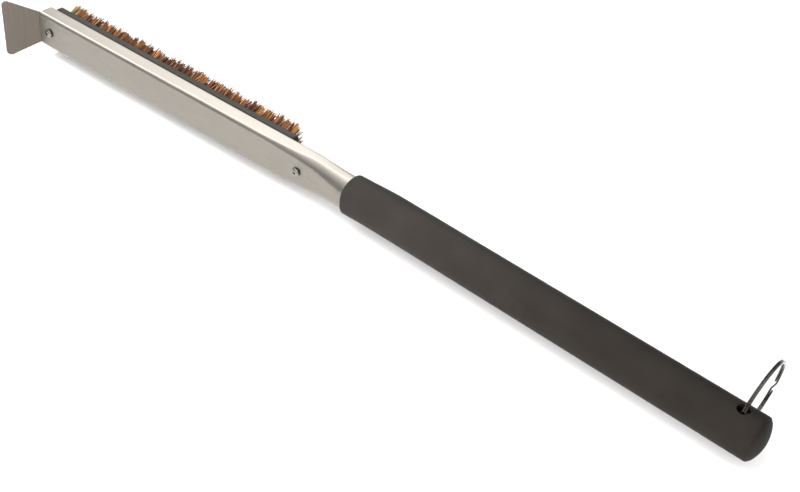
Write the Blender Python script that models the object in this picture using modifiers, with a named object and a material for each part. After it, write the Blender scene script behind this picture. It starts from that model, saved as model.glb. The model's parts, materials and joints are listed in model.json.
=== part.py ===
"""Grill cleaning brush: a steel tube handle pressed flat into a long head, with a
bent scraper in its open end, a bristle block screwed on its back, a rubber grip
and a hanging ring threaded through the grip's end.

Axes: +X runs along the grip towards its closed end, +Y is the side the bristles
point to, +Z is up. Everything is modelled from the grip's front rim, on the
grip's axis, and then carried by one empty so that the world origin is the middle
of the object's footprint, on the plane it stands on.
"""

import math

import bmesh
import bpy
from mathutils import Matrix, Vector

MM = 0.001

# ---- driving dimensions, millimetres -------------------------------------------------
GAP = 0.3                   # clearance between pieces that touch

TUBE_R = 10.6               # round part of the tube, inside the grip
TUBE_WALL = 1.2
HEAD_HEIGHT = 24.2          # flattened head, along Z
HEAD_FRONT = -8.1           # its wide front face, on -Y
HEAD_BACK = 3.5             # its back face, which carries the block
FRONT_CORNER = 2.6          # outside corner radii of the flattened section
BACK_CORNER = 1.9
HEAD_END = -266.3           # open far end
HEAD_ANGLE = 2.73           # degrees, the head's crank relative to the grip
BEND_X = -5.0               # where the head's and the grip's axes cross
BEND_HALF = 22.0            # half the length over which the crank is spread
TUBE_NEAR_END = 265.4

GRIP_THICK = 2.1            # rubber outside the tube's surface
GRIP_LENGTH = 272.7
GRIP_DOME = 3.9
GRIP_RIM = 1.3              # rounding of the front rim
GRIP_BORE_END = 265.7

RING_HOLE = (256.8, 0.2)     # (x, y) of the hole's axis, which the ring turns on
RING_HOLE_TOP_R = 3.6       # at the grip's upper surface
RING_HOLE_LOW_R = 4.75      # at its lower one, where the wire leans further out
RING_R = 23.5               # to the wire's centre line
RING_WIRE = 1.9             # wire diameter
RING_CENTRE = (255.9, 20.7, 2.5)
RING_YAW = 2.4              # degrees, of the ring's plane from YZ
RING_LEAN = -4.9            # degrees, its lean inside the wide hole

PLATE = 1.2                 # scraper sheet
TANG_HALF = 10.0            # clears the tube's inside corners
NECK_HALF = 10.4            # just outside the tube
TANG_LENGTH = 27.0
BLADE_BEND = 52.9           # degrees, towards -Y
BLADE_BEND_R = 1.9          # to the sheet's middle
BLADE_LENGTH = 25.0         # from the bend's start to the edge
BLADE_HALF = 21.6           # half width at the edge, before its corners are rounded
BLADE_CORNER = 3.0

BLOCK_FAR = -263.7
BLOCK_NEAR = -50.5
TONGUE_END = -31.0          # narrow tongue behind the rear screw
TONGUE_HALF = 6.0
BLOCK_HALF = 11.3
BLOCK_THICK = 4.6

SCREW_XS = (-256.9, -37.6)
SCREW_LENGTH = 15.0
SCREW_HEAD_R = 2.9
SCREW_HEAD_H = 1.9
SCREW_R = 1.45

ROWS = 29                   # crosswise rows of bristles
ROW_FIRST, ROW_LAST = -255.0, -58.0
BRISTLE_HEIGHT = 7.6        # above the block's face
ROW_ROOT = (2.1, 7.8)       # half width along the head and half height, at the block
ROW_TIP = (3.2, 13.0)       # the same at the flared tips

QUARTER = 7                 # steps round each corner of a section


# ---- scene, collections, materials ---------------------------------------------------
for old in list(bpy.data.objects):
    bpy.data.objects.remove(old, do_unlink=True)

scene = bpy.context.scene
parts = bpy.data.collections.new("grill_brush")
cutters = bpy.data.collections.new("cutters")
scene.collection.children.link(parts)
scene.collection.children.link(cutters)


def material(name, colour, roughness, metallic):
    m = bpy.data.materials.new(name)
    m.use_nodes = True
    shader = m.node_tree.nodes["Principled BSDF"]
    shader.inputs["Base Color"].default_value = (*colour, 1)
    shader.inputs["Roughness"].default_value = roughness
    shader.inputs["Metallic"].default_value = metallic
    m.diffuse_color = (*colour, 1)
    return m


def empty(name, location, angle_z=0.0, parent=None):
    o = bpy.data.objects.new(name, None)
    o.empty_display_size = 0.02
    o.location = Vector(location) * MM
    o.rotation_euler = (0, 0, math.radians(angle_z))
    o.parent = parent
    scene.collection.objects.link(o)
    return o


# The whole brush hangs on `brush`. The head's pieces hang on `head`, whose X starts at
# the bend, and the ring on `ring_axis`, which stands on the ring's hinge.
brush = empty("brush", (0, 0, 0))
head = empty("head", (BEND_X, 0, 0), HEAD_ANGLE, brush)
ring_axis = empty("ring_axis", (*RING_HOLE, 0), 0, brush)


def add(name, mesh, mat, parent, smooth=35, collection=parts):
    o = bpy.data.objects.new(name, mesh)
    if mat:
        mesh.materials.append(mat)
    collection.objects.link(o)
    o.parent = parent
    if smooth:
        mesh.shade_smooth()
        mesh.set_sharp_from_angle(angle=math.radians(smooth))
    return o


def mesh_from(bm, name):
    bmesh.ops.recalc_face_normals(bm, faces=bm.faces)
    mesh = bpy.data.meshes.new(name)
    bm.to_mesh(mesh)
    bm.free()
    return mesh


def cutter(name, mesh, parent):
    o = add(name, mesh, None, parent, 0, cutters)
    o.hide_render = True
    o.display_type = "WIRE"
    return o


def cylinder(name, radius, start, end, parent, segments=32):
    """A cylinder cutter from one point to another, in its parent's frame."""
    a, b = Vector(start) * MM, Vector(end) * MM
    bm = bmesh.new()
    turn = (b - a).to_track_quat("Z", "Y").to_matrix().to_4x4()
    bmesh.ops.create_cone(
        bm, cap_ends=True, segments=segments, radius1=radius * MM, radius2=radius * MM,
        depth=(b - a).length, matrix=Matrix.Translation((a + b) / 2) @ turn,
    )
    return cutter(name, mesh_from(bm, name), parent)


def cut(obj, tool, operation="DIFFERENCE"):
    m = obj.modifiers.new(tool.name, "BOOLEAN")
    m.operation = operation
    m.solver = "EXACT"
    m.object = tool
    return m


# ---- the tube's section along its length ---------------------------------------------
def ease(x, start, end):
    u = min(max((x - start) / (end - start), 0.0), 1.0)
    return u * u * (3 - 2 * u)


def section(x, offset=0.0):
    """Half height, front, back, front corner and back corner of the tube at x, grown by offset."""
    half = HEAD_HEIGHT / 2 + (TUBE_R - HEAD_HEIGHT / 2) * ease(x, -36, 2)
    front = HEAD_FRONT + (-TUBE_R - HEAD_FRONT) * ease(x, -31, 0)
    back = HEAD_BACK + (TUBE_R - HEAD_BACK) * ease(x, -20, 30)
    front_corner = FRONT_CORNER + (TUBE_R - FRONT_CORNER) * ease(x, -72, 28)
    back_corner = BACK_CORNER + (TUBE_R - BACK_CORNER) * ease(x, -24, 26)
    share = min(1.0, (back - front) / (front_corner + back_corner), half / front_corner, half / back_corner)
    corners = (max(r * share + offset, 0.2) for r in (front_corner, back_corner))
    return half + offset, front - offset, back + offset, *corners


def crank(x):
    """The path's angle at x: the head's in the head, none in the grip."""
    return math.radians(HEAD_ANGLE) * (1 - ease(x, BEND_X - BEND_HALF, BEND_X + BEND_HALF))


def path(x):
    """(x, y) of the tube's path at the distance x along it, straight inside the grip."""
    point = Vector((x, 0.0))
    limit = BEND_X + BEND_HALF
    if x < limit:
        point = Vector((limit, 0.0))
        steps = 60
        for i in range(steps):
            at = limit + (x - limit) * (i + 0.5) / steps
            step = (x - limit) / steps
            point += Vector((math.cos(crank(at)), math.sin(crank(at)))) * step
    return point


def ring_of_points(x, offset=0.0, squeeze=1.0):
    """The section's outline at x, as points in the brush's frame."""
    half, front, back, front_corner, back_corner = section(x, offset)
    centre = path(x)
    angle = crank(x)
    points = []
    for quarter, (sy, sz) in enumerate(((1, 1), (-1, 1), (-1, -1), (1, -1))):
        corner = back_corner if sy > 0 else front_corner
        cy = (back - corner) if sy > 0 else (front + corner)
        cz = sz * (half - corner)
        for i in range(QUARTER):
            # a step short of the quarter's end, so that a round section has no double points
            a = math.pi / 2 * (quarter + (i + 0.5) / QUARTER)
            y = (cy + corner * math.cos(a)) * squeeze
            z = (cz + corner * math.sin(a)) * squeeze
            points.append(
                Vector((centre.x - y * math.sin(angle), centre.y + y * math.cos(angle), z)) * MM
            )
    return points


def loft(rings, close_start=False, close_end=False, join_ends=False):
    """Quads between neighbouring outlines; join_ends closes the last one to the first."""
    bm = bmesh.new()
    rows = [[bm.verts.new(p) for p in ring] for ring in rings]
    pairs = list(zip(rows, rows[1:])) + ([(rows[-1], rows[0])] if join_ends else [])
    for a, b in pairs:
        for i in range(len(a)):
            j = (i + 1) % len(a)
            bm.faces.new((a[i], a[j], b[j], b[i]))
    if close_start:
        bm.faces.new(rows[0])
    if close_end:
        bm.faces.new(rows[-1])
    return bm


def stations(*stops):
    """Numbers from (start, end, steps) runs, each end shared with the next start."""
    out = []
    for start, end, steps in stops:
        out += [start + (end - start) * i / steps for i in range(steps)]
    return out + [stops[-1][1]]


steel = material("brushed_steel", (0.62, 0.60, 0.57), 0.34, 1.0)
blade_steel = material("blade_steel", (0.50, 0.47, 0.43), 0.38, 1.0)
rubber = material("grip_rubber", (0.055, 0.052, 0.048), 0.75, 0.0)
plastic = material("block_plastic", (0.045, 0.043, 0.038), 0.5, 0.0)
chrome = material("chrome", (0.78, 0.78, 0.78), 0.12, 1.0)
fibre = material("bristle_fibre", (0.30, 0.14, 0.055), 0.8, 0.0)

# ---- handle tube ----------------------------------------------------------------------
runs = stations((HEAD_END, -72, 2), (-72, 30, 19), (30, TUBE_NEAR_END, 2))
outer = [ring_of_points(x) for x in runs]
inner = [ring_of_points(x, -TUBE_WALL) for x in reversed(runs)]
tube = add("handle_tube", mesh_from(loft(outer + inner, join_ends=True), "handle_tube"), steel, brush)

# ---- grip sleeve: it follows the tube, with a rounded rim and a low domed end ---------
rim = []
for i in range(5):
    a = math.pi / 2 * i / 4
    rim.append((GRIP_RIM * (1 - math.sin(a)), GRIP_THICK - GRIP_RIM * (1 - math.cos(a))))
rim.reverse()                                        # from the rim's outer edge back to its face
cylinder_end = GRIP_LENGTH - GRIP_DOME
body_runs = stations((3.0, 30, 5), (30, cylinder_end - 1.2, 3))
grip_rings = [ring_of_points(x, off) for x, off in reversed(rim)]
grip_rings += [ring_of_points(x, GRIP_THICK) for x in body_runs]
grip_r = TUBE_R + GRIP_THICK
sphere = (grip_r ** 2 + GRIP_DOME ** 2) / (2 * GRIP_DOME)
for share in (0.985, 0.93, 0.8, 0.6, 0.35, 0.12):
    r = grip_r * share
    x = GRIP_LENGTH - sphere + math.sqrt(sphere ** 2 - r ** 2)
    grip_rings.append(ring_of_points(x, GRIP_THICK, share))
bore_runs = stations((0.0, 30, 6), (30, GRIP_BORE_END, 2))
bore_rings = [ring_of_points(x, GAP) for x in reversed(bore_runs)]
bm = bmesh.new()
all_rings = [[bm.verts.new(p) for p in ring] for ring in grip_rings]
all_bore = [[bm.verts.new(p) for p in ring] for ring in bore_rings]
for a, b in list(zip(all_rings, all_rings[1:])) + list(zip(all_bore, all_bore[1:])) + [(all_bore[-1], all_rings[0])]:
    for i in range(len(a)):
        j = (i + 1) % len(a)
        bm.faces.new((a[i], a[j], b[j], b[i]))
bm.faces.new(all_rings[-1])
bm.faces.new(all_bore[0])
grip = add("grip_sleeve", mesh_from(bm, "grip_sleeve"), rubber, brush)

# The hole widens downwards. Radii are given at the grip's surfaces and carried 8 mm past them.
taper = (RING_HOLE_LOW_R - RING_HOLE_TOP_R) / (2 * grip_r)
bm = bmesh.new()
bmesh.ops.create_cone(
    bm, cap_ends=True, segments=28, depth=(2 * grip_r + 16) * MM,
    radius1=(RING_HOLE_LOW_R + 8 * taper) * MM, radius2=(RING_HOLE_TOP_R - 8 * taper) * MM,
    matrix=Matrix.Translation(Vector((*RING_HOLE, 0)) * MM),
)
ring_hole = cutter("ring_hole", mesh_from(bm, "ring_hole"), brush)
cut(grip, ring_hole)
cut(tube, ring_hole)

# ---- scraper: a flared sheet, bent once, with its tang inside the head -----------------
U0 = HEAD_END - BEND_X                               # the head's end in the head's own frame
sheet_y = HEAD_FRONT + TUBE_WALL + GAP + PLATE / 2   # the tang's middle plane
bend = math.radians(BLADE_BEND)
bend_start = U0 - 0.2
slope = (BLADE_HALF - NECK_HALF) / BLADE_LENGTH
steep = math.sqrt(1 + slope ** 2)
corner_s = BLADE_LENGTH - BLADE_CORNER
corner_z = NECK_HALF + slope * corner_s - BLADE_CORNER * steep
rows = []                                            # (distance past the bend's start, half width)
for i in range(7):                                   # the tang's rounded inner end
    a = math.pi / 2 * i / 6
    rows.append((-TANG_LENGTH + 2 * (1 - math.sin(a)), TANG_HALF - 2 * (1 - math.cos(a))))
rows.sort()
bend_run = BLADE_BEND_R * bend
rows += [(-0.1, TANG_HALF)]
rows += [(bend_run * i / 6, NECK_HALF + slope * bend_run * i / 6) for i in range(7)]
tangent_s = corner_s - BLADE_CORNER * slope / steep
rows += [(bend_run + (tangent_s - bend_run) * i / 3, 0) for i in range(1, 3)]
rows = [(s, w or NECK_HALF + slope * s) for s, w in rows]
start_a = math.asin(-slope / steep)
for i in range(9):
    a = start_a + (math.pi / 2 - start_a) * i / 8
    rows.append((corner_s + BLADE_CORNER * math.sin(a), corner_z + BLADE_CORNER * math.cos(a)))


def sheet_point(s):
    """The sheet's middle line in plan: straight in the tang, round the bend, straight in the blade."""
    if s <= 0:
        return Vector((bend_start - s, sheet_y))
    turned = min(s / BLADE_BEND_R, bend)
    p = Vector((
        bend_start - BLADE_BEND_R * math.sin(turned),
        sheet_y - BLADE_BEND_R * (1 - math.cos(turned)),
    ))
    rest = max(s - bend_run, 0)
    return p + Vector((-math.cos(bend), -math.sin(bend))) * rest


bm = bmesh.new()
strip = []
for s, w in rows:
    p = sheet_point(s)
    strip.append([bm.verts.new(Vector((p.x, p.y, z)) * MM) for z in (-w, 0.0, w)])
for a, b in zip(strip, strip[1:]):
    for i in range(2):
        bm.faces.new((a[i], a[i + 1], b[i + 1], b[i]))
scraper = add("scraper_blade", mesh_from(bm, "scraper_blade"), blade_steel, head)
thick = scraper.modifiers.new("sheet", "SOLIDIFY")
thick.thickness = PLATE * MM
thick.offset = 0
thick.use_even_offset = True

# ---- bristle block: a plate with small corners, and a narrow tongue at its near end -----
block_y = HEAD_BACK + GAP


def corner(cx, cz, r, start, sweep, steps=4):
    """Points round a corner, in the plane of the block."""
    return [
        (cx + r * math.cos(a), cz + r * math.sin(a))
        for a in (math.radians(start + sweep * i / steps) for i in range(steps + 1))
    ]


r = 2.4
outline = corner(TONGUE_END - TONGUE_HALF, 0, TONGUE_HALF, -90, 180, 12)
outline += corner(BLOCK_NEAR + 1.5, TONGUE_HALF + 1.5, 1.5, -90, -90, 3)
outline += corner(BLOCK_NEAR - r, BLOCK_HALF - r, r, 0, 90)
outline += corner(BLOCK_FAR + r, BLOCK_HALF - r, r, 90, 90)
outline += corner(BLOCK_FAR + r, -BLOCK_HALF + r, r, 180, 90)
outline += corner(BLOCK_NEAR - r, -BLOCK_HALF + r, r, 270, 90)
outline += corner(BLOCK_NEAR + 1.5, -TONGUE_HALF - 1.5, 1.5, 180, -90, 3)
bm = bmesh.new()
face = bm.faces.new(
    [bm.verts.new(Vector((x - BEND_X, block_y, z)) * MM) for x, z in outline]
)
grown = bmesh.ops.extrude_face_region(bm, geom=[face])
bmesh.ops.translate(
    bm, vec=(0, BLOCK_THICK * MM, 0), verts=[v for v in grown["geom"] if isinstance(v, bmesh.types.BMVert)]
)
block = add("brush_block", mesh_from(bm, "brush_block"), plastic, head)
edges = block.modifiers.new("edges", "BEVEL")
edges.width = 0.6 * MM
edges.segments = 2
edges.limit_method = "ANGLE"
edges.angle_limit = math.radians(50)

# ---- the two screws, their holes and cross recesses --------------------------------------
names = ("front_screw", "rear_screw")
for name, x in zip(names, SCREW_XS):
    u = x - BEND_X
    # The profile runs down the outer side: crown, head, seat, shank, point. The screw's own
    # +Z is its crown, which faces -Y in the head.
    dome = [
        (SCREW_HEAD_R * math.sin(a), SCREW_HEAD_H - 0.9 * (1 - math.cos(a)) / (1 - math.cos(1.25)))
        for a in (1.25 * i / 5 for i in range(6))
    ]
    profile = [(0.0, SCREW_HEAD_H)] + dome[1:]
    profile += [(SCREW_HEAD_R, 0.55), (SCREW_HEAD_R, 0.0), (SCREW_R, 0.0)]
    profile += [(SCREW_R, -SCREW_LENGTH + 1.4), (0.4, -SCREW_LENGTH), (0.0, -SCREW_LENGTH)]
    bm = bmesh.new()
    vs = [bm.verts.new((r * MM, 0, z * MM)) for r, z in profile]
    for a, b in zip(vs, vs[1:]):
        bm.edges.new((a, b))
    mesh = bpy.data.meshes.new(name)
    bm.to_mesh(mesh)
    bm.free()
    screw = add(name, mesh, chrome, head, 0)
    screw.location = Vector((u, HEAD_FRONT - GAP, 0)) * MM
    screw.rotation_euler = (math.pi / 2, 0, 0)
    turn = screw.modifiers.new("turn", "SCREW")
    turn.steps = turn.render_steps = 16
    turn.use_merge_vertices = True
    turn.merge_threshold = 1e-5
    turn.use_smooth_shade = False
    bm = bmesh.new()
    for spin in (0, 90):
        m = Matrix.Rotation(math.radians(spin + 20), 4, "Z") @ Matrix.Diagonal((3.2 * MM, 0.75 * MM, 2.4 * MM, 1))
        bmesh.ops.create_cube(bm, size=1, matrix=Matrix.Translation((0, 0, (SCREW_HEAD_H + 0.1) * MM)) @ m)
    mesh = bpy.data.meshes.new("recess_" + name)
    bm.to_mesh(mesh)
    bm.free()
    recess = cutter("recess_" + name, mesh, head)
    recess.location = screw.location
    recess.rotation_euler = screw.rotation_euler
    m = cut(screw, recess)
    m.use_self = True

    through = cylinder("hole_" + name, SCREW_R + GAP, (u, -20, 0), (u, block_y + BLOCK_THICK - 0.7, 0), head, 20)
    for obj in (tube, block) + ((scraper,) if name == "front_screw" else ()):
        cut(obj, through)


# ---- bristle rows: three flared tufts side by side, pressed together along the row ----------
def row_outline(y, u, half_height, half_width, valley):
    """A row's section parallel to the block's face: three swellings, one for each tuft."""
    front, back = [], []
    for k in range(13):
        v = -1 + k / 6
        swell = abs(math.cos(1.5 * math.pi * v)) ** 0.7
        w = half_width * (valley + (1 - valley) * swell)
        front.append(Vector((u + w, y, half_height * v)) * MM)
        back.append(Vector((u - w, y, half_height * v)) * MM)
    return front + back[::-1]


row_y = block_y + BLOCK_THICK + GAP
for i in range(ROWS):
    u = ROW_FIRST + (ROW_LAST - ROW_FIRST) * i / (ROWS - 1) - BEND_X
    name = "bristle_row_%02d" % (i + 1)
    sections = [
        row_outline(row_y, u, ROW_ROOT[1], ROW_ROOT[0], 0.2),
        row_outline(row_y + BRISTLE_HEIGHT, u, ROW_TIP[1], ROW_TIP[0], 0.6),
    ]
    add(name, mesh_from(loft(sections, close_start=True, close_end=True), name), fibre, head)

# ---- hanging ring, on its hinge in the middle of the hole -------------------------------------
normal = Matrix.Rotation(math.radians(RING_YAW), 3, "Z") @ Matrix.Rotation(math.radians(-RING_LEAN), 3, "Y") @ Vector((1, 0, 0))
centre = Vector(RING_CENTRE) - Vector((*RING_HOLE, 0))
bm = bmesh.new()
spin = normal.to_track_quat("Z", "X").to_matrix().to_4x4()
around, across = 48, 8
loops = []
for i in range(around):
    a = 2 * math.pi * i / around
    loop = []
    for k in range(across):
        b = 2 * math.pi * k / across
        r = RING_R + RING_WIRE / 2 * math.cos(b)
        local = Vector((r * math.cos(a), r * math.sin(a), RING_WIRE / 2 * math.sin(b)))
        loop.append(bm.verts.new((centre + spin @ local) * MM))
    loops.append(loop)
for i in range(around):
    a, b = loops[i], loops[(i + 1) % around]
    for k in range(across):
        l = (k + 1) % across
        bm.faces.new((a[k], a[l], b[l], b[k]))
add("hang_ring", mesh_from(bm, "hang_ring"), chrome, ring_axis)

# ---- stand the brush on the plane Z = 0, its footprint centred on the origin -------------------
bpy.context.view_layer.update()
graph = bpy.context.evaluated_depsgraph_get()
low, high = Vector((1e9,) * 3), Vector((-1e9,) * 3)
for o in parts.objects:
    shown = o.evaluated_get(graph)
    mesh = shown.to_mesh()
    for v in mesh.vertices:
        p = shown.matrix_world @ v.co
        low = Vector(map(min, low, p))
        high = Vector(map(max, high, p))
    shown.to_mesh_clear()
brush.location = (-(low.x + high.x) / 2, -(low.y + high.y) / 2, -low.z)
bpy.context.view_layer.update()
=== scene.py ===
"""Looks of the grill cleaning brush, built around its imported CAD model.

Every visible piece is a finer mesh on the CAD piece's own dimensions: a brushed tube
pressed flat into a head, a bent scraper, a bristle block with drilled tuft holes, some
six thousand separate fibres, two cross-recessed screws, a moulded rubber grip and a
split ring of doubled wire.
"""

import json
import math
import random

import bmesh
import bpy
from mathutils import Matrix, Vector


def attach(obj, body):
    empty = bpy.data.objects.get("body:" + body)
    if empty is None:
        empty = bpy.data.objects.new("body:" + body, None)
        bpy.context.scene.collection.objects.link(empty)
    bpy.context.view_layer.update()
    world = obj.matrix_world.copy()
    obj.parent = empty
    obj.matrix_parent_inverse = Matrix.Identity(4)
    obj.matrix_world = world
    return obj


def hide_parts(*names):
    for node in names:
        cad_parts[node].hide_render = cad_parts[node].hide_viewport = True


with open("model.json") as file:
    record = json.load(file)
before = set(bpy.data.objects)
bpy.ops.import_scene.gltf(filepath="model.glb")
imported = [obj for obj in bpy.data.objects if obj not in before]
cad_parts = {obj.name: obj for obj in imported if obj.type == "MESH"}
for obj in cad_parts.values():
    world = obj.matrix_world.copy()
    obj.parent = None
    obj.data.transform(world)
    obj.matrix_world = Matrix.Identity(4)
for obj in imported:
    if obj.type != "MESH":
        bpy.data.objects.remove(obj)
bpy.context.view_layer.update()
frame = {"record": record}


# ---- the design's dimensions, millimetres, from the grip's front rim on its axis ------
TUBE_R, TUBE_WALL = 10.6, 1.2
HEAD_HEIGHT, HEAD_FRONT, HEAD_BACK = 24.2, -8.1, 3.5
FRONT_CORNER, BACK_CORNER = 2.6, 1.9
HEAD_END, HEAD_ANGLE, BEND_X, BEND_HALF = -266.3, 2.73, -5.0, 22.0
TUBE_NEAR_END = 265.4
GRIP_THICK, GRIP_LENGTH, GRIP_DOME, GRIP_RIM, GRIP_BORE_END = 2.1, 272.7, 3.9, 1.3, 265.7
RING_HOLE, RING_HOLE_TOP_R, RING_HOLE_LOW_R = (256.8, 0.2), 3.6, 4.75
RING_R, RING_WIRE, RING_CENTRE, RING_YAW, RING_LEAN = 23.5, 1.9, (255.9, 20.7, 2.5), 2.4, -4.9
PLATE, TANG_HALF, NECK_HALF, TANG_LENGTH = 1.2, 10.0, 10.4, 27.0
BLADE_BEND, BLADE_BEND_R, BLADE_LENGTH, BLADE_HALF, BLADE_CORNER = 52.9, 1.9, 25.0, 21.6, 3.0
BLOCK_FAR, BLOCK_NEAR, TONGUE_END, TONGUE_HALF, BLOCK_HALF, BLOCK_THICK = -263.7, -50.5, -31.0, 6.0, 11.3, 4.6
SCREW_XS, SCREW_HEAD_R, SCREW_HEAD_H, SCREW_R, SCREW_LENGTH = (-256.9, -37.6), 2.9, 1.9, 1.45, 15.0
ROWS, ROW_FIRST, ROW_LAST, BRISTLE_HEIGHT = 29, -255.0, -58.0, 7.6
GAP = 0.3

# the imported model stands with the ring's hinge on the hole's axis
hinge = next(j for j in frame["record"]["behaviour"]["joints"] if j["name"] == "ring_swing")
OFF = Vector(hinge["pos_m"]) - Vector((*RING_HOLE, 0)) * 0.001
ANGLE = math.radians(HEAD_ANGLE)


def at(x, y, z):
    """World point from the brush's own frame."""
    return Vector((x, y, z)) * 0.001 + OFF


def on_head(u, y, z):
    """World point from the head's own frame."""
    return at(
        BEND_X + u * math.cos(ANGLE) - y * math.sin(ANGLE),
        u * math.sin(ANGLE) + y * math.cos(ANGLE),
        z,
    )


HEAD_FRAME = Matrix.Translation(on_head(0, 0, 0)) @ Matrix.Rotation(ANGLE, 4, "Z")

# ---- camera, floor and light ----------------------------------------------------------
right = Vector((0.74938268, 0.65699346, 0.08237231))
down = Vector((0.46497457, -0.43358439, -0.77188291))
forward = Vector((-0.47140668, 0.61673671, -0.63040588))
camera_data = bpy.data.cameras.new("camera")
camera_data.lens = 59.74
camera_data.sensor_width = 36
camera_data.clip_start = 0.01
camera = bpy.data.objects.new("camera", camera_data)
turn = Matrix((right, -down, -forward)).transposed().to_4x4()
camera.matrix_world = Matrix.Translation(at(398.345, -471.438, 465.112)) @ turn
bpy.context.scene.collection.objects.link(camera)
bpy.context.scene.camera = camera
bpy.context.scene.view_settings.view_transform = "Standard"


def add(name, mesh):
    o = bpy.data.objects.new(name, mesh)
    bpy.context.scene.collection.objects.link(o)
    return o


def area(name, place, target, size, power, colour=(1, 1, 1)):
    light = bpy.data.lights.new(name, "AREA")
    light.shape = "RECTANGLE"
    light.size, light.size_y = size
    light.energy = power
    light.color = colour
    o = bpy.data.objects.new(name, light)
    o.location = place
    o.rotation_euler = (Vector(target) - Vector(place)).to_track_quat("-Z", "Y").to_euler()
    o.visible_camera = False
    bpy.context.scene.collection.objects.link(o)
    return o


# a soft key from the left front, an overhead fill and a low front light; the backdrop,
# strip, edge and crease are seen only as reflections
key = area("key", (-0.50, -0.50, 1.15), (0.02, 0, 0), (0.9, 0.7), 15, (1.0, 0.985, 0.965))
key.visible_glossy = False
area("fill", (0.42, -0.70, 1.40), (0.12, 0, 0), (2.4, 1.7), 22, (1.0, 0.99, 0.975))
front = area("front", (0.62, -0.86, 0.36), (0.20, 0, 0), (1.0, 0.46), 14, (1.0, 0.985, 0.965))
front.visible_glossy = False
backdrop = area("backdrop", (-0.83, 1.16, 1.14), (-0.10, 0, 0), (1.6, 1.5), 18, (1.0, 0.995, 0.985))
backdrop.visible_diffuse = False
strip = area("strip", (-0.86, 0.36, 1.20), (-0.12, 0, 0), (1.1, 0.9), 11.0, (1.0, 0.985, 0.96))
strip.visible_diffuse = False
edge = area("edge", (-1.30, 0.0, 1.05), (-0.25, 0, 0), (0.60, 0.42), 5.0, (1.0, 0.99, 0.975))
edge.visible_diffuse = False
crease = area("crease", (-1.28, -0.55, 0.95), (-0.25, 0, 0), (0.6, 0.7), 1.7, (1.0, 0.985, 0.965))
crease.visible_diffuse = False

world = bpy.data.worlds.new("studio")
world.use_nodes = True
world.node_tree.nodes["Background"].inputs["Color"].default_value = (0.97, 0.98, 1.0, 1)
# brighter at the front than behind
direction = world.node_tree.nodes.new("ShaderNodeTexCoord").outputs["Generated"]
axes = world.node_tree.nodes.new("ShaderNodeSeparateXYZ")
depth = world.node_tree.nodes.new("ShaderNodeMapRange")
depth.inputs["From Min"].default_value = -0.8
depth.inputs["From Max"].default_value = 0.8
depth.inputs["To Min"].default_value = 0.74
depth.inputs["To Max"].default_value = 0.16
world.node_tree.links.new(direction, axes.inputs["Vector"])
world.node_tree.links.new(axes.outputs["Y"], depth.inputs["Value"])
world.node_tree.links.new(depth.outputs["Result"], world.node_tree.nodes["Background"].inputs["Strength"])
bpy.context.scene.world = world


# ---- materials -------------------------------------------------------------------------
class Nodes:
    """A small helper that builds one material's node tree."""

    def __init__(self, name, metallic, roughness):
        self.material = bpy.data.materials.new(name)
        self.material.use_nodes = True
        self.tree = self.material.node_tree
        self.shader = self.tree.nodes["Principled BSDF"]
        self.shader.inputs["Metallic"].default_value = metallic
        self.shader.inputs["Roughness"].default_value = roughness
        self.place = self.tree.nodes.new("ShaderNodeTexCoord").outputs["Object"]

    def link(self, a, b):
        self.tree.links.new(a, b)

    def noise(self, scale, stretch=(1, 1, 1), detail=3.0, rough=0.55):
        mapping = self.tree.nodes.new("ShaderNodeMapping")
        mapping.inputs["Scale"].default_value = stretch
        self.link(self.place, mapping.inputs["Vector"])
        n = self.tree.nodes.new("ShaderNodeTexNoise")
        n.inputs["Scale"].default_value = scale
        n.inputs["Detail"].default_value = detail
        n.inputs["Roughness"].default_value = rough
        self.link(mapping.outputs["Vector"], n.inputs["Vector"])
        return n.outputs["Fac"]

    def ramp(self, value, *stops):
        r = self.tree.nodes.new("ShaderNodeValToRGB")
        while len(r.color_ramp.elements) < len(stops):
            r.color_ramp.elements.new(0.5)
        for element, (position, colour) in zip(r.color_ramp.elements, stops):
            element.position = position
            element.color = (*colour, 1)
        self.link(value, r.inputs["Fac"])
        return r.outputs["Color"]

    def spread(self, value, low, high, start=0.3, end=0.7):
        m = self.tree.nodes.new("ShaderNodeMapRange")
        m.inputs["From Min"].default_value = start
        m.inputs["From Max"].default_value = end
        m.inputs["To Min"].default_value = low
        m.inputs["To Max"].default_value = high
        self.link(value, m.inputs["Value"])
        return m.outputs["Result"]

    def along(self, start, end):
        """0 to 1 between two x positions of the piece."""
        split = self.tree.nodes.new("ShaderNodeSeparateXYZ")
        self.link(self.place, split.inputs["Vector"])
        m = self.tree.nodes.new("ShaderNodeMapRange")
        m.interpolation_type = "SMOOTHSTEP"
        m.inputs["From Min"].default_value = start
        m.inputs["From Max"].default_value = end
        self.link(split.outputs["X"], m.inputs["Value"])
        return m.outputs["Result"]

    def mix(self, kind, a, b, share=1.0):
        m = self.tree.nodes.new("ShaderNodeMix")
        m.data_type = "RGBA"
        m.blend_type = kind
        m.inputs["Factor"].default_value = share
        self.link(a, m.inputs["A"])
        self.link(b, m.inputs["B"])
        return m.outputs["Result"]

    def bump(self, *layers):
        """Layers of (height, strength, distance in metres), coarse to fine."""
        normal = None
        for height, strength, distance in layers:
            b = self.tree.nodes.new("ShaderNodeBump")
            b.inputs["Strength"].default_value = strength
            b.inputs["Distance"].default_value = distance
            self.link(height, b.inputs["Height"])
            if normal:
                self.link(normal, b.inputs["Normal"])
            normal = b.outputs["Normal"]
        self.link(normal, self.shader.inputs["Normal"])


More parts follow.
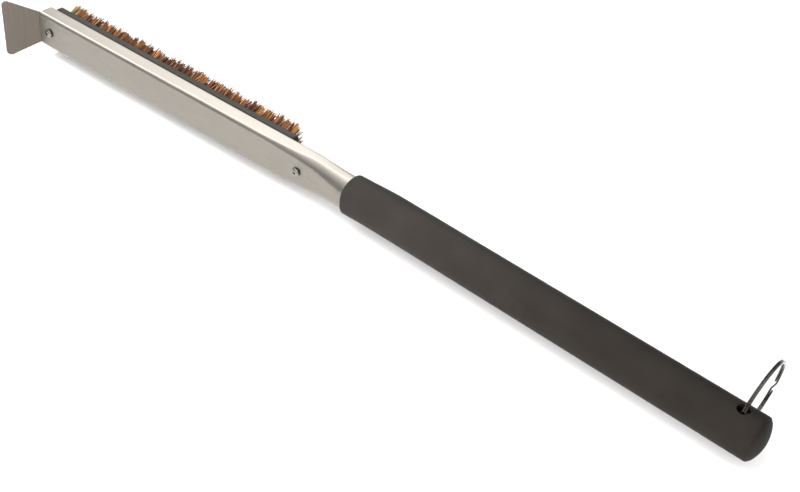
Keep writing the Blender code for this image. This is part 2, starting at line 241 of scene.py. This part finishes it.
def steel(name, dark, light, roughness, grain):
    """Satin steel. grain is the noise's stretch: small along the brushing, large across it."""
    n = Nodes(name, 1.0, roughness)
    lines = n.noise(900, grain, 4.0, 0.65)
    clouds = n.noise(26, (1, 1.6, 1.6), 3.0)
    tint = n.ramp(lines, (0.30, dark), (0.70, light))
    n.link(n.mix("MULTIPLY", tint, n.ramp(clouds, (0.3, (0.95, 0.945, 0.94)), (0.7, (1, 1, 1)))), n.shader.inputs["Base Color"])
    n.link(n.spread(lines, roughness - 0.05, roughness + 0.06), n.shader.inputs["Roughness"])
    n.bump((clouds, 0.05, 0.0006), (lines, 0.06, 0.00006))
    return n.material


tube_steel = steel("tube_steel", (0.240, 0.2235, 0.200), (0.272, 0.254, 0.229), 0.31, (0.035, 1, 1))
blade_steel = steel("blade_steel", (0.133, 0.116, 0.098), (0.156, 0.137, 0.117), 0.37, (1, 1, 0.04))

n = Nodes("grip_rubber", 0.0, 0.62)
grain = n.noise(1700, detail=2.0)
mottle = n.noise(55, (0.7, 1, 1), 4.0)
tint = n.ramp(mottle, (0.3, (0.0235, 0.0200, 0.0176)), (0.7, (0.0305, 0.0263, 0.0234)))
# darker towards the grip's near end: painted shade standing in for the key light falling off along the grip
painted_falloff = n.ramp(n.along(0.0, 0.26), (0.0, (1, 1, 1)), (1.0, (0.50, 0.485, 0.46)))
n.link(n.mix("MULTIPLY", tint, painted_falloff), n.shader.inputs["Base Color"])
n.link(n.spread(grain, 0.56, 0.70), n.shader.inputs["Roughness"])
n.shader.inputs["Specular IOR Level"].default_value = 0.08
n.bump((mottle, 0.08, 0.0006), (grain, 0.22, 0.00010))
grip_rubber = n.material

n = Nodes("block_plastic", 0.0, 0.5)
grain = n.noise(1300, detail=3.0)
streak = n.noise(120, (0.2, 1, 1), 3.0)
n.link(n.ramp(streak, (0.3, (0.017, 0.0166, 0.0130)), (0.7, (0.026, 0.0253, 0.0205))), n.shader.inputs["Base Color"])
n.link(n.spread(grain, 0.42, 0.58), n.shader.inputs["Roughness"])
n.bump((grain, 0.18, 0.00008))
n.shader.inputs["Specular IOR Level"].default_value = 0.16
block_plastic = n.material


def bright(name, dark, light, roughness, scale):
    n = Nodes(name, 1.0, roughness)
    wear = n.noise(scale, detail=4.0)
    n.link(n.ramp(wear, (0.3, dark), (0.7, light)), n.shader.inputs["Base Color"])
    n.link(n.spread(wear, roughness - 0.04, roughness + 0.07), n.shader.inputs["Roughness"])
    n.bump((wear, 0.04, 0.00005))
    return n.material


ring_chrome = bright("ring_chrome", (0.060, 0.053, 0.048), (0.140, 0.127, 0.117), 0.09, 420)
screw_metal = bright("screw_metal", (0.19, 0.178, 0.162), (0.30, 0.287, 0.268), 0.15, 700)

# near-black colour for the screws' cross recesses: painted shade in the hollows
n = Nodes("recess_painted_shade", 0.6, 0.55)
recess_shade_noise = n.noise(1500, detail=2.0)
n.link(n.ramp(recess_shade_noise, (0.3, (0.010, 0.009, 0.008)), (0.7, (0.030, 0.027, 0.024))), n.shader.inputs["Base Color"])
n.bump((recess_shade_noise, 0.1, 0.00005))
recess_painted_shade = n.material

# Fibres read an attribute made with them: x a shade of their own, y the share from root to
# tip, z how pale the whole tuft is.
n = Nodes("bristle_fibre", 0.0, 0.62)
attribute = n.tree.nodes.new("ShaderNodeAttribute")
attribute.attribute_name = "fibre"
split = n.tree.nodes.new("ShaderNodeSeparateXYZ")
n.link(attribute.outputs["Vector"], split.inputs["Vector"])
own = n.ramp(
    split.outputs["X"], (0.0, (0.026, 0.0095, 0.0035)), (0.34, (0.125, 0.0430, 0.0115)),
    (0.68, (0.345, 0.126, 0.0300)), (1.0, (0.58, 0.290, 0.088)),
)
# darker towards the roots: painted shade inside the tuft and its hole
along = n.ramp(split.outputs["Y"], (0.0, (0.34, 0.30, 0.27)), (0.45, (0.92, 0.88, 0.84)), (1.0, (1.0, 1.0, 1.0)))
shade = n.mix("MULTIPLY", own, along)
pale = n.tree.nodes.new("ShaderNodeMix")
pale.data_type = "RGBA"
pale.inputs["B"].default_value = (0.50, 0.37, 0.17, 1)
n.link(split.outputs["Z"], pale.inputs["Factor"])
n.link(shade, pale.inputs["A"])
fleck = n.noise(2600, (1, 0.35, 1), 2.0)
n.link(n.mix("MULTIPLY", pale.outputs["Result"], n.ramp(fleck, (0.3, (0.78, 0.76, 0.74)), (0.7, (1, 1, 1)))), n.shader.inputs["Base Color"])
n.link(n.spread(fleck, 0.52, 0.72), n.shader.inputs["Roughness"])
n.bump((fleck, 0.15, 0.00006))
bristle_fibre = n.material

n = Nodes("floor_paper", 0.0, 0.9)
fibres = n.noise(300, detail=2.0)
n.link(n.ramp(fibres, (0.3, (0.91, 0.91, 0.91)), (0.7, (0.93, 0.93, 0.93))), n.shader.inputs["Base Color"])
n.shader.inputs["Specular IOR Level"].default_value = 0.1
floor_paper = n.material

bpy.ops.mesh.primitive_plane_add(size=9)
floor = bpy.context.object
floor.name = "floor"
floor.data.materials.append(floor_paper)


# ---- mesh helpers --------------------------------------------------------------------------
def mesh_from(bm, name):
    bmesh.ops.recalc_face_normals(bm, faces=bm.faces)
    mesh = bpy.data.meshes.new(name)
    bm.to_mesh(mesh)
    bm.free()
    return mesh


def settle(o):
    """The object's modifiers made into its mesh."""
    bpy.context.view_layer.update()
    graph = bpy.context.evaluated_depsgraph_get()
    mesh = bpy.data.meshes.new_from_object(o.evaluated_get(graph), preserve_all_data_layers=True, depsgraph=graph)
    o.modifiers.clear()
    o.data = mesh


def carve(o, *tools, operation="DIFFERENCE"):
    for tool in tools:
        m = o.modifiers.new("cut", "BOOLEAN")
        m.operation = operation
        m.solver = "EXACT"
        m.object = tool
    settle(o)


def drop(*tools):
    for tool in tools:
        bpy.data.objects.remove(tool, do_unlink=True)


def smooth(o, angle=32, weighted=True):
    o.data.shade_smooth()
    o.data.set_sharp_from_angle(angle=math.radians(angle))
    if weighted:
        w = o.modifiers.new("flat faces stay flat", "WEIGHTED_NORMAL")
        w.keep_sharp = True
        w.weight = 100
        settle(o)


def bevel(o, width, segments=3, angle=40):
    b = o.modifiers.new("edges", "BEVEL")
    b.width = width * 0.001
    b.segments = segments
    b.limit_method = "ANGLE"
    b.angle_limit = math.radians(angle)
    b.harden_normals = False
    settle(o)


def keep(o, body, slot, material, *nodes):
    if material:
        o.data.materials.clear()
        o.data.materials.append(material)
    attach(o, body)
    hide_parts(*nodes)


def bridge(bm, rows, close=True):
    for a, b in zip(rows, rows[1:]):
        count = len(a)
        for i in range(count if close else count - 1):
            j = (i + 1) % count
            bm.faces.new((a[i], a[j], b[j], b[i]))


def cone(name, start, end, r1, r2, segments=48):
    """A cone between two world points, as a cutter."""
    bm = bmesh.new()
    span = end - start
    place = Matrix.Translation((start + end) / 2) @ span.to_track_quat("Z", "Y").to_matrix().to_4x4()
    bmesh.ops.create_cone(
        bm, cap_ends=True, segments=segments, radius1=r1 * 0.001, radius2=r2 * 0.001, depth=span.length, matrix=place
    )
    return add(name, mesh_from(bm, name))


# ---- the tube's section, as in the design ---------------------------------------------------
def ease(x, start, end):
    u = min(max((x - start) / (end - start), 0.0), 1.0)
    return u * u * (3 - 2 * u)


def section(x, offset=0.0):
    half = HEAD_HEIGHT / 2 + (TUBE_R - HEAD_HEIGHT / 2) * ease(x, -36, 2)
    front = HEAD_FRONT + (-TUBE_R - HEAD_FRONT) * ease(x, -31, 0)
    back = HEAD_BACK + (TUBE_R - HEAD_BACK) * ease(x, -20, 30)
    front_corner = FRONT_CORNER + (TUBE_R - FRONT_CORNER) * ease(x, -72, 28)
    back_corner = BACK_CORNER + (TUBE_R - BACK_CORNER) * ease(x, -24, 26)
    share = min(1.0, (back - front) / (front_corner + back_corner), half / front_corner, half / back_corner)
    corners = (max(r * share + offset, 0.2) for r in (front_corner, back_corner))
    return half + offset, front - offset, back + offset, *corners


def crank(x):
    return ANGLE * (1 - ease(x, BEND_X - BEND_HALF, BEND_X + BEND_HALF))


def path(x):
    point = Vector((x, 0.0))
    limit = BEND_X + BEND_HALF
    if x < limit:
        point = Vector((limit, 0.0))
        for i in range(60):
            step = (x - limit) / 60
            a = crank(limit + step * (i + 0.5))
            point += Vector((math.cos(a), math.sin(a))) * step
    return point


STEPS = 16


def outline(x, offset=0.0, squeeze=1.0, dent=None):
    half, front, back, front_corner, back_corner = section(x, offset)
    centre, angle = path(x), crank(x)
    points = []
    for quarter, (sy, sz) in enumerate(((1, 1), (-1, 1), (-1, -1), (1, -1))):
        corner = back_corner if sy > 0 else front_corner
        cy = (back - corner) if sy > 0 else (front + corner)
        cz = sz * (half - corner)
        for i in range(STEPS):
            a = math.pi / 2 * (quarter + (i + 0.5) / STEPS)
            y = (cy + corner * math.cos(a)) * squeeze
            z = (cz + corner * math.sin(a)) * squeeze
            if dent:
                depth = dent(x, a)
                y -= depth * math.cos(a)
                z -= depth * math.sin(a)
            points.append(at(centre.x - y * math.sin(angle), centre.y + y * math.cos(angle), z))
    return points


def stations(*stops):
    out = []
    for start, end, steps in stops:
        out += [start + (end - start) * i / steps for i in range(steps)]
    return out + [stops[-1][1]]


# ---- cutters shared by the pieces -------------------------------------------------------------
grip_r = TUBE_R + GRIP_THICK
taper = (RING_HOLE_LOW_R - RING_HOLE_TOP_R) / (2 * grip_r)
reach = grip_r + 8
ring_hole = cone(
    "ring_hole", at(*RING_HOLE, -reach), at(*RING_HOLE, reach),
    RING_HOLE_LOW_R + 8 * taper, RING_HOLE_TOP_R - 8 * taper,
)
block_y = HEAD_BACK + GAP
face_y = block_y + BLOCK_THICK
screw_holes = [
    cone("screw_hole", on_head(x - BEND_X, -20, 0), on_head(x - BEND_X, face_y - 0.7, 0), SCREW_R + GAP, SCREW_R + GAP, 32)
    for x in SCREW_XS
]

# ---- steel tube, pressed flat into the head ----------------------------------------------------
runs = stations((HEAD_END + 0.34, -72, 14), (-72, 30, 68), (30, TUBE_NEAR_END, 8))
lip = [(0.0, -0.34), (0.05, -0.20), (0.16, -0.06), (0.34, 0.0)]    # the deburred open end
outer = [outline(HEAD_END + x, off) for x, off in lip[:-1]] + [outline(x) for x in runs]
inner = [outline(x, -TUBE_WALL) for x in reversed(runs)]
inner += [outline(HEAD_END + x, -TUBE_WALL - off * 0.6) for x, off in reversed(lip[:-1])]
bm = bmesh.new()
rows = [[bm.verts.new(p) for p in ring] for ring in outer + inner]
bridge(bm, rows + [rows[0]])
tube = add("steel_tube", mesh_from(bm, "steel_tube"))
carve(tube, ring_hole, *screw_holes)
smooth(tube, 35)
keep(tube, "brush", "tube_steel", tube_steel, "handle_tube")


# ---- rubber grip: rounded rim, low dome, one shallow finger dent ---------------------------------
DENT_X, DENT_ANGLE = 118.0, 172.0


def finger_dent(x, a):
    along = (x - DENT_X) / 15.0
    around = (math.degrees(a) - DENT_ANGLE) / 28.0
    return 1.45 * (1 - ease(math.hypot(along, around), 0.6, 1.0))


rim = [
    (GRIP_RIM * (1 - math.sin(a)), GRIP_THICK - GRIP_RIM * (1 - math.cos(a)))
    for a in (math.pi / 2 * i / 8 for i in range(9))
]
cylinder_end = GRIP_LENGTH - GRIP_DOME
rings = [outline(x, off) for x, off in reversed(rim[:-1])]
rings = [outline(0.0, GRIP_THICK - GRIP_RIM)] + [outline(x, off) for x, off in reversed(rim)]
rings += [outline(x, GRIP_THICK, dent=finger_dent) for x in stations((2.2, 30, 16), (30, 90, 10), (90, 144, 44), (144, cylinder_end - 1.3, 14))]
sphere = (grip_r ** 2 + GRIP_DOME ** 2) / (2 * GRIP_DOME)
for i in range(6):                                    # the dome's edge is rounded
    a = math.pi / 2 * (i + 1) / 6
    rings.append(outline(cylinder_end - 1.3 + 1.6 * math.sin(a) * 0.9, GRIP_THICK, 1 - 0.075 * (1 - math.cos(a))))
for share in (0.88, 0.8, 0.7, 0.58, 0.45, 0.31, 0.17, 0.06):
    r = grip_r * share
    rings.append(outline(GRIP_LENGTH - sphere + math.sqrt(sphere ** 2 - r ** 2), GRIP_THICK, share))
bore = [outline(x, GAP) for x in stations((GRIP_BORE_END, 30, 4), (30, 0.0, 20))]
bm = bmesh.new()
rows = [[bm.verts.new(p) for p in ring] for ring in rings]
hollow = [[bm.verts.new(p) for p in ring] for ring in bore]
bridge(bm, rows)
bridge(bm, hollow)
bridge(bm, [hollow[-1], rows[0]])
bm.faces.new(rows[-1])
bm.faces.new(hollow[0])
bmesh.ops.remove_doubles(bm, verts=bm.verts, dist=1e-7)
sleeve = add("rubber_sleeve", mesh_from(bm, "rubber_sleeve"))
carve(sleeve, ring_hole)
smooth(sleeve, 40, weighted=False)
keep(sleeve, "brush", "grip_rubber", grip_rubber, "grip_sleeve")

# ---- scraper sheet --------------------------------------------------------------------------------
sheet_y = HEAD_FRONT + TUBE_WALL + GAP + PLATE / 2
bend = math.radians(BLADE_BEND)
bend_start = HEAD_END - BEND_X - 0.2
slope = (BLADE_HALF - NECK_HALF) / BLADE_LENGTH
steep = math.sqrt(1 + slope ** 2)
corner_s = BLADE_LENGTH - BLADE_CORNER
corner_z = NECK_HALF + slope * corner_s - BLADE_CORNER * steep
bend_run = BLADE_BEND_R * bend
tangent_s = corner_s - BLADE_CORNER * slope / steep
start_a = math.asin(-slope / steep)


def sheet_point(s):
    if s <= 0:
        return Vector((bend_start - s, sheet_y))
    turned = min(s / BLADE_BEND_R, bend)
    p = Vector((bend_start - BLADE_BEND_R * math.sin(turned), sheet_y - BLADE_BEND_R * (1 - math.cos(turned))))
    return p + Vector((-math.cos(bend), -math.sin(bend))) * max(s - bend_run, 0)


spans = sorted(
    (-TANG_LENGTH + 2 * (1 - math.sin(a)), TANG_HALF - 2 * (1 - math.cos(a))) for a in (math.pi / 2 * i / 8 for i in range(9))
)
spans += [(-12.0, TANG_HALF), (-0.1, TANG_HALF)]
spans += [(bend_run * i / 12, NECK_HALF + slope * bend_run * i / 12) for i in range(13)]
spans += [(s, NECK_HALF + slope * s) for s in (bend_run + (tangent_s - bend_run) * i / 6 for i in range(1, 6))]
for i in range(15):
    a = start_a + (math.pi / 2 - start_a) * i / 14
    spans.append((corner_s + BLADE_CORNER * math.sin(a), corner_z + BLADE_CORNER * math.cos(a)))
bm = bmesh.new()
strip = []
for s, w in spans:
    p = sheet_point(s)
    strip.append([bm.verts.new(on_head(p.x, p.y, w * k / 4)) for k in range(-4, 5)])
bridge(bm, strip, close=False)
scraper = add("scraper_sheet", mesh_from(bm, "scraper_sheet"))
thick = scraper.modifiers.new("sheet", "SOLIDIFY")
thick.thickness = PLATE * 0.001
thick.offset = 0
thick.use_even_offset = True
settle(scraper)
bevel(scraper, 0.20, 2, 60)
carve(scraper, screw_holes[0])
smooth(scraper, 35)
keep(scraper, "brush", "blade_steel", blade_steel, "scraper_blade")


# ---- bristle block, with a drilled hole for each tuft ------------------------------------------------
def corner(cx, cz, r, start, sweep, steps=8):
    return [(cx + r * math.cos(a), cz + r * math.sin(a)) for a in (math.radians(start + sweep * i / steps) for i in range(steps + 1))]


r = 2.4
shape = corner(TONGUE_END - TONGUE_HALF, 0, TONGUE_HALF, -90, 180, 24)
shape += corner(BLOCK_NEAR + 1.5, TONGUE_HALF + 1.5, 1.5, -90, -90, 5)
shape += corner(BLOCK_NEAR - r, BLOCK_HALF - r, r, 0, 90)
shape += corner(BLOCK_FAR + r, BLOCK_HALF - r, r, 90, 90)
shape += corner(BLOCK_FAR + r, -BLOCK_HALF + r, r, 180, 90)
shape += corner(BLOCK_NEAR - r, -BLOCK_HALF + r, r, 270, 90)
shape += corner(BLOCK_NEAR + 1.5, -TONGUE_HALF - 1.5, 1.5, 180, -90, 5)
bm = bmesh.new()
low = bm.faces.new([bm.verts.new(on_head(x - BEND_X, block_y, z)) for x, z in shape])
grown = bmesh.ops.extrude_face_region(bm, geom=[low])
shift = on_head(0, BLOCK_THICK, 0) - on_head(0, 0, 0)
bmesh.ops.translate(bm, vec=shift, verts=[v for v in grown["geom"] if isinstance(v, bmesh.types.BMVert)])
block = add("bristle_block", mesh_from(bm, "bristle_block"))
bevel(block, 0.7, 3, 50)

TUFT_ZS = (-5.4, 0.0, 5.4)
TUFT_R = 2.05
row_us = [ROW_FIRST + (ROW_LAST - ROW_FIRST) * i / (ROWS - 1) - BEND_X for i in range(ROWS)]
bm = bmesh.new()
for u in row_us:
    for z in TUFT_ZS:
        a, b = on_head(u, face_y - 2.4, z), on_head(u, face_y + 2.0, z)
        place = Matrix.Translation((a + b) / 2) @ (b - a).to_track_quat("Z", "Y").to_matrix().to_4x4()
        bmesh.ops.create_cone(
            bm, cap_ends=True, segments=18, radius1=(TUFT_R + 0.15) * 0.001, radius2=(TUFT_R + 0.15) * 0.001,
            depth=(b - a).length, matrix=place,
        )
drill = add("drill", mesh_from(bm, "drill"))
carve(block, *screw_holes, drill)
drop(drill)
smooth(block, 35)
keep(block, "brush", "block_plastic", block_plastic, "brush_block")

# ---- fibres: three flared tufts to a row, every fibre its own tapered, slightly bent solid --------------
rng = random.Random(71)
FIBRES, SIDES, LEVELS = 92, 5, 4


def fibre(bm, layer, root, tip, sag, radius, own, pale):
    """A tapered stick from root to tip, bowed by sag."""
    axis = tip - root
    across = axis.orthogonal().normalized()
    other = axis.normalized().cross(across)
    loops = []
    for k in range(LEVELS + 1):
        t = k / LEVELS
        centre = root + axis * t + sag * (4 * t * (1 - t) * 0.5 + 0.35 * t * t)
        rad = radius * (1 - 0.45 * t ** 1.5) * 0.001
        loop = []
        for j in range(SIDES):
            a = 2 * math.pi * j / SIDES
            v = bm.verts.new(centre + across * (rad * math.cos(a)) + other * (rad * math.sin(a)))
            v[layer] = Vector((own, t, pale))
            loop.append(v)
        loops.append(loop)
    bridge(bm, loops)
    bm.faces.new(loops[-1])
    bm.faces.new(loops[0][::-1])


for index, u in enumerate(row_us):
    bm = bmesh.new()
    layer = bm.verts.layers.float_vector.new("fibre")
    row_tone = rng.uniform(-0.10, 0.10)
    for tuft, z0 in enumerate(TUFT_ZS):
        tone = row_tone + rng.uniform(-0.12, 0.12)
        lean_u, lean_z = rng.gauss(0, 0.45), rng.gauss(0, 0.35)
        height = BRISTLE_HEIGHT + rng.uniform(-0.5, 0.45)
        pale = 0.62 if (index == 0 and tuft == 2) else (0.25 if index == 0 else 0.0)
        for i in range(FIBRES):
            r = math.sqrt((i + 0.5) / FIBRES)
            a = i * 2.399963 + rng.uniform(-0.25, 0.25)
            du, dz = r * math.cos(a), r * math.sin(a)
            root = on_head(u + TUFT_R * 0.9 * du, face_y - 1.6, z0 + TUFT_R * 0.9 * dz)
            z_tip = z0 * 1.56 + 4.0 * dz + lean_z + rng.gauss(0, 0.6)
            u_tip = u + 3.8 * du + lean_u + rng.gauss(0, 1.15 if i % 9 == 4 else 0.62)
            long = height - 0.35 * r * r + rng.gauss(0, 0.85)
            tip = on_head(u_tip, face_y + GAP + long, z_tip)
            sag = Vector((rng.gauss(0, 0.30), rng.gauss(0, 0.12), rng.gauss(0, 0.30))) * 0.001
            own = min(max(0.37 + tone + rng.gauss(0, 0.33), 0.0), 1.0)
            fibre(bm, layer, root, tip, sag, rng.uniform(0.25, 0.38), own, min(max(pale * rng.uniform(0.5, 1.3), 0), 1))
    name = "tuft_row_%02d" % (index + 1)
    mesh = bpy.data.meshes.new(name)
    bm.to_mesh(mesh)
    bm.free()
    o = add(name, mesh)
    mesh.shade_smooth()
    mesh.set_sharp_from_angle(angle=math.radians(80))
    keep(o, "brush", "bristle_fibre", bristle_fibre, "bristle_row_%02d" % (index + 1))

# ---- screws: low domed heads with a tapered cross recess --------------------------------------------------
for name, node, x, spin in (("screw_far", "front_screw", SCREW_XS[0], 24), ("screw_near", "rear_screw", SCREW_XS[1], 52)):
    seat = HEAD_FRAME @ Matrix.Translation(Vector((x - BEND_X, HEAD_FRONT - GAP, 0)) * 0.001) @ Matrix.Rotation(math.pi / 2, 4, "X")
    profile = [(SCREW_HEAD_R * math.sin(a), SCREW_HEAD_H - 0.95 * (1 - math.cos(a)) / (1 - math.cos(1.25))) for a in (1.25 * i / 12 for i in range(13))]
    edge = [(SCREW_HEAD_R * math.sin(1.25), SCREW_HEAD_H - 0.95), (SCREW_HEAD_R * 0.985, 0.72), (SCREW_HEAD_R, 0.45), (SCREW_HEAD_R, 0.15), (SCREW_HEAD_R - 0.12, 0.0)]
    profile = [(0.0, SCREW_HEAD_H)] + profile[1:] + edge[1:]
    turns = 18                                         # the thread's ridges, turned as rings
    profile += [(SCREW_R, 0.0)]
    for i in range(turns):
        z = -1.2 - (SCREW_LENGTH - 2.8) * i / turns
        pitch = (SCREW_LENGTH - 2.8) / turns
        profile += [(SCREW_R - 0.22, z), (SCREW_R, z - pitch * 0.5)]
    profile += [(SCREW_R - 0.3, -SCREW_LENGTH + 1.3), (0.35, -SCREW_LENGTH), (0.0, -SCREW_LENGTH)]
    bm = bmesh.new()
    count = 56
    top = bm.verts.new(seat @ (Vector((0, 0, profile[0][1])) * 0.001))
    end = bm.verts.new(seat @ (Vector((0, 0, profile[-1][1])) * 0.001))
    rows = [
        [bm.verts.new(seat @ (Vector((r * math.cos(2 * math.pi * k / count), r * math.sin(2 * math.pi * k / count), z)) * 0.001)) for k in range(count)]
        for r, z in profile[1:-1]
    ]
    bridge(bm, rows)
    for k in range(count):
        bm.faces.new((top, rows[0][k], rows[0][(k + 1) % count]))
        bm.faces.new((end, rows[-1][(k + 1) % count], rows[-1][k]))
    screw = add(name, mesh_from(bm, name))
    screw.data.materials.append(screw_metal)
    bm = bmesh.new()
    for half_turn in (0, 90):
        made = bmesh.ops.create_cube(bm, size=1)["verts"]
        for v in made:
            wide = 1.0 if v.co.z > 0 else 0.42
            v.co = Vector((v.co.x * 3.4 * wide, v.co.y * 0.78 * (1.0 if v.co.z > 0 else 0.7), v.co.z * 3.2))
        bmesh.ops.rotate(bm, verts=made, cent=(0, 0, 0), matrix=Matrix.Rotation(math.radians(spin + half_turn), 3, "Z"))
    for v in bm.verts:
        v.co = seat @ ((v.co + Vector((0, 0, SCREW_HEAD_H + 0.15))) * 0.001)
    bmesh.ops.recalc_face_normals(bm, faces=bm.faces)
    cross = add("cross", mesh_from(bm, "cross"))
    # the recess faces take the painted shade
    cross.data.materials.append(recess_painted_shade)
    m = screw.modifiers.new("recess", "BOOLEAN")
    m.operation = "DIFFERENCE"
    m.object = cross
    m.use_self = True
    m.material_mode = "TRANSFER"
    settle(screw)
    drop(cross)
    smooth(screw, 40, weighted=False)
    keep(screw, "brush", "screw_metal", None, node)

drop(ring_hole, *screw_holes)

# ---- split ring: two turns of flattened wire, side by side, crossing over at the split ---------------------
normal = Matrix.Rotation(math.radians(RING_YAW), 3, "Z") @ Matrix.Rotation(math.radians(-RING_LEAN), 3, "Y") @ Vector((1, 0, 0))
first = (Vector((0, 1, 0)) - normal * normal.y).normalized()
second = normal.cross(first)
centre = at(*RING_CENTRE)
SPLIT = math.radians(345)
CROSS = math.radians(6)
HALF_W, HALF_T, LAYER = 1.04, 0.55, 0.565              # radial and axial half sizes of the wire, and its layer's offset
start, end = CROSS * 1.12, 4 * math.pi - CROSS * 1.12
count = 300
bm = bmesh.new()
loops = []
for i in range(count + 1):
    phi = start + (end - start) * i / count
    shift = -LAYER + 2 * LAYER * ease(phi, 2 * math.pi - CROSS, 2 * math.pi + CROSS)
    theta = SPLIT + phi
    out = first * math.cos(theta) + second * math.sin(theta)
    nib = min(i, count - i)
    shrink = (0.72, 0.92)[nib] if nib < 2 else 1.0      # the cut ends are deburred
    loop = []
    for k in range(16):
        b = 2 * math.pi * k / 16
        c, s = math.cos(b), math.sin(b)
        # a rounded-rectangle wire: fuller than an ellipse
        rad = HALF_W * shrink * math.copysign(abs(c) ** 0.8, c)
        axial = HALF_T * shrink * math.copysign(abs(s) ** 0.8, s)
        loop.append(bm.verts.new(centre + (out * (RING_R + rad) + normal * (axial + shift)) * 0.001))
    loops.append(loop)
bridge(bm, loops)
bm.faces.new(loops[0][::-1])
bm.faces.new(loops[-1])
ring = add("split_ring", mesh_from(bm, "split_ring"))
smooth(ring, 50, weighted=False)
keep(ring, "ring", "ring_chrome", ring_chrome, "hang_ring")
